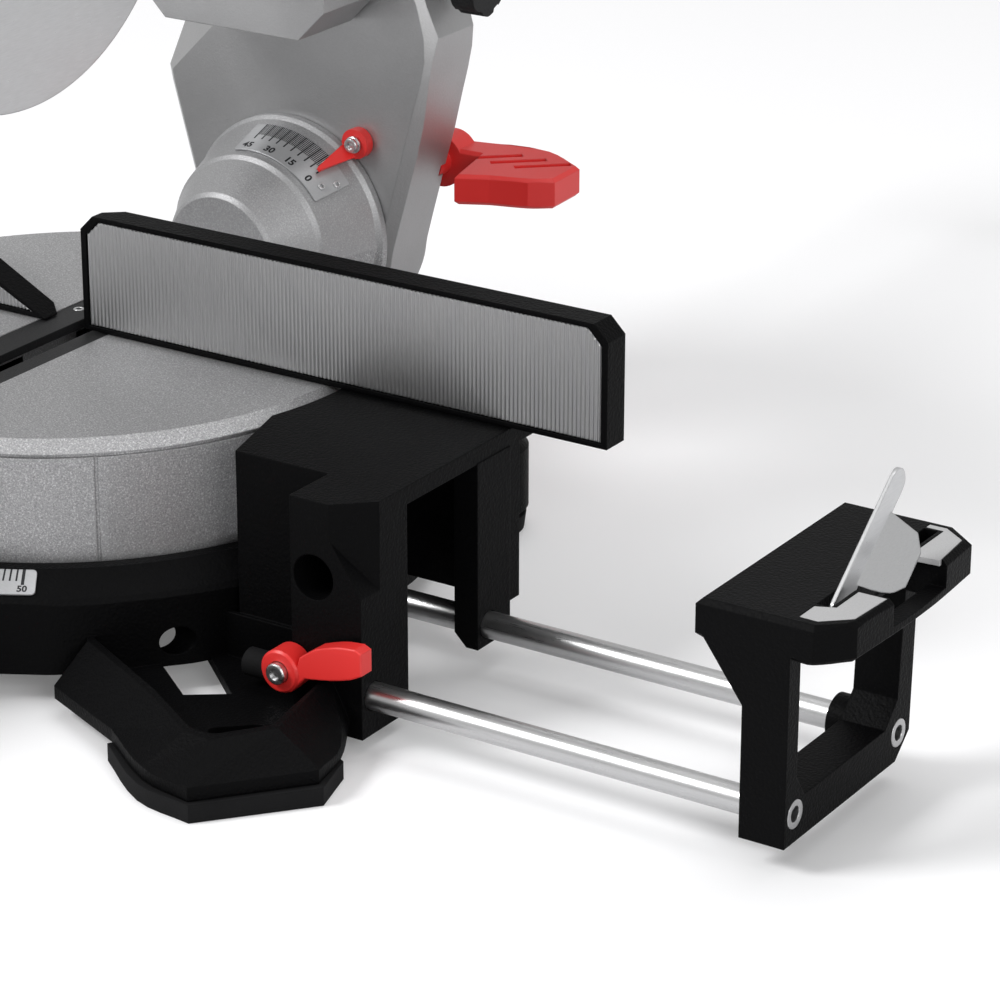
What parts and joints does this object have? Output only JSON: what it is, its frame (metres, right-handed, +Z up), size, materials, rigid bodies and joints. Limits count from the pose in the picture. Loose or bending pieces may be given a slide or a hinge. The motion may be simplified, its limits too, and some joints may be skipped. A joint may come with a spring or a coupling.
{
  "type": "sliding compound mitre saw",
  "caption": "Sliding compound mitre saw with turntable, tilting slide head, split ribbed fence and pull-out work supports with flip-up stops.",
  "frame": {"origin": "middle of the bounding box's underside, on the bench, with the supports pulled out and the head up", "axes": "+X to the right as the user sees it, +Y to the rear, +Z up; the longest extent is along X"},
  "size_m": [0.9196, 0.8342, 0.4771],
  "materials": {
    "black_coat": "black textured powder coat",
    "rubber": "matt",
    "dark_plastic": "fine grain",
    "red_plastic": "satin moulded",
    "cast_silver": "speckled silver-grey paint",
    "satin_cast": "satin blasted casting",
    "steel": "bright ground steel",
    "sheet_steel": "brushed zinc",
    "scale_plate": "satin plate with black marks",
    "inlay_grey": "light grey, fine grain"
  },
  "bodies": {
    "base": {"base_casting": "black_coat", "foot_sole_front_right": "rubber", "foot_sole_front_left": "rubber", "foot_sole_rear_right": "rubber", "foot_sole_rear_left": "rubber", "mitre_scale": "scale_plate", "mitre_pivot_bolt": "steel", "fence_right": "black_coat", "fence_face_right": "steel", "fence_left": "black_coat", "fence_face_left": "steel"},
    "turntable": {"turntable_casting": "cast_silver", "kerf_insert": "dark_plastic", "mitre_pointer": "red_plastic", "bevel_scale": "scale_plate", "tilt_pivot_bolt": "steel"},
    "mitre_lock": {"mitre_lock_knob": "dark_plastic"},
    "detent": {"detent_lever": "red_plastic"},
    "tilt": {"tilt_arm": "satin_cast", "bevel_pointer": "red_plastic", "bevel_pointer_screw": "steel"},
    "bevel_lock": {"bevel_lock_lever": "red_plastic"},
    "slide_lock": {"slide_lock_knob": "dark_plastic"},
    "slide": {"slide_rail_right": "steel", "slide_rail_left": "steel", "rail_end_cap": "dark_plastic", "head_block": "satin_cast"},
    "transport": {"transport_pin": "red_plastic"},
    "head": {"head_casting": "satin_cast", "head_pivot_pin": "steel", "motor_housing": "dark_plastic", "motor_cap": "dark_plastic", "cord_gland": "rubber", "handle": "dark_plastic", "dust_port": "dark_plastic"},
    "trigger": {"trigger": "red_plastic"},
    "lock_off": {"lock_off_button": "red_plastic"},
    "spindle_lock": {"spindle_lock_button": "red_plastic"},
    "blade": {"saw_blade": "steel", "blade_flange": "steel", "arbor_shaft": "steel"},
    "guard": {"lower_guard": "sheet_steel"},
    "support_right": {"end_bracket_right": "black_coat", "inlay_front_right": "inlay_grey", "inlay_rear_right": "inlay_grey", "rod_front_right": "steel", "rod_rear_right": "steel", "stop_pin_right": "steel"},
    "stop_right": {"flip_stop_right": "sheet_steel"},
    "clamp_right": {"clamp_lever_right": "red_plastic", "clamp_screw_right": "steel"},
    "support_left": {"end_bracket_left": "black_coat", "inlay_front_left": "inlay_grey", "inlay_rear_left": "inlay_grey", "rod_front_left": "steel", "rod_rear_left": "steel", "stop_pin_left": "steel"},
    "stop_left": {"flip_stop_left": "sheet_steel"},
    "clamp_left": {"clamp_lever_left": "red_plastic", "clamp_screw_left": "steel"}
  },
  "joints": [
    {"name": "mitre_turn", "type": "hinge", "parent": "base", "child": "turntable", "pos_m": [0, -0.05985, 0], "axis": [0, 0, 1], "range_deg": [-50, 50]},
    {"name": "mitre_lock_turn", "type": "hinge", "parent": "turntable", "child": "mitre_lock", "pos_m": [0, -0.35985, 0.082], "axis": [0, 1, 0], "range_deg": [0, 270]},
    {"name": "detent_press", "type": "hinge", "parent": "turntable", "child": "detent", "pos_m": [0, -0.33985, 0.0607], "axis": [1, 0, 0], "range_deg": [0, 12], "stiffness_Nm_per_rad": 1.2, "springref_deg": -17.19},
    {"name": "bevel_tilt", "type": "hinge", "parent": "turntable", "child": "tilt", "pos_m": [0, 0.13015, 0.11], "axis": [0, -1, 0], "range_deg": [0, 45]},
    {"name": "bevel_lock_swing", "type": "hinge", "parent": "tilt", "child": "bevel_lock", "pos_m": [0.061, 0.16015, 0.143], "axis": [0, -1, 0], "range_deg": [0, 35]},
    {"name": "slide_lock_turn", "type": "hinge", "parent": "tilt", "child": "slide_lock", "pos_m": [0.09, 0.13215, 0.24], "axis": [1, 0, 0], "range_deg": [0, 270]},
    {"name": "head_slide", "type": "slide", "parent": "tilt", "child": "slide", "axis": [0, -1, 0], "range_m": [0, 0.215]},
    {"name": "transport_push", "type": "slide", "parent": "slide", "child": "transport", "axis": [-1, 0, 0], "range_m": [0, 0.012]},
    {"name": "head_chop", "type": "hinge", "parent": "slide", "child": "head", "pos_m": [0, 0.08815, 0.284], "axis": [1, 0, 0], "range_deg": [0, 41], "stiffness_Nm_per_rad": 6, "springref_deg": -137.51},
    {"name": "guard_open", "type": "hinge", "parent": "head", "child": "guard", "pos_m": [0, -0.08985, 0.335], "axis": [1, 0, 0], "range_deg": [-190, 0]},
    {"name": "blade_spin", "type": "hinge", "parent": "head", "child": "blade", "pos_m": [0, -0.08985, 0.335], "axis": [1, 0, 0], "continuous": true},
    {"name": "trigger_pull", "type": "hinge", "parent": "head", "child": "trigger", "pos_m": [0, -0.23017, 0.4498], "axis": [-1, 0, 0], "range_deg": [0, 6], "stiffness_Nm_per_rad": 0.5, "springref_deg": -8.59},
    {"name": "lock_off_press", "type": "slide", "parent": "head", "child": "lock_off", "axis": [-1, 0, 0], "range_m": [0, 0.0025], "stiffness_N_per_m": 400, "springref_m": -0.002},
    {"name": "spindle_lock_press", "type": "slide", "parent": "head", "child": "spindle_lock", "axis": [-1, 0, 0], "range_m": [0, 0.004], "stiffness_N_per_m": 400, "springref_m": -0.002},
    {"name": "support_slide_right", "type": "slide", "parent": "base", "child": "support_right", "axis": [-1, 0, 0], "range_m": [0, 0.155]},
    {"name": "stop_flip_right", "type": "hinge", "parent": "support_right", "child": "stop_right", "pos_m": [0.438, -0.13985, 0.101], "axis": [1, 0, 0], "range_deg": [-39, 51]},
    {"name": "clamp_swing_right", "type": "hinge", "parent": "base", "child": "clamp_right", "pos_m": [0.204, -0.17785, 0.033], "axis": [0, -1, 0], "range_deg": [0, 80]},
    {"name": "support_slide_left", "type": "slide", "parent": "base", "child": "support_left", "axis": [1, 0, 0], "range_m": [0, 0.155]},
    {"name": "stop_flip_left", "type": "hinge", "parent": "support_left", "child": "stop_left", "pos_m": [-0.438, -0.13985, 0.101], "axis": [1, 0, 0], "range_deg": [-39, 51]},
    {"name": "clamp_swing_left", "type": "hinge", "parent": "base", "child": "clamp_left", "pos_m": [-0.204, -0.17785, 0.033], "axis": [0, 1, 0], "range_deg": [0, 80]}
  ],
  "couplings": [
    {"joint": "guard_open", "follows": "head_chop", "ratio": -4.63}
  ]
}
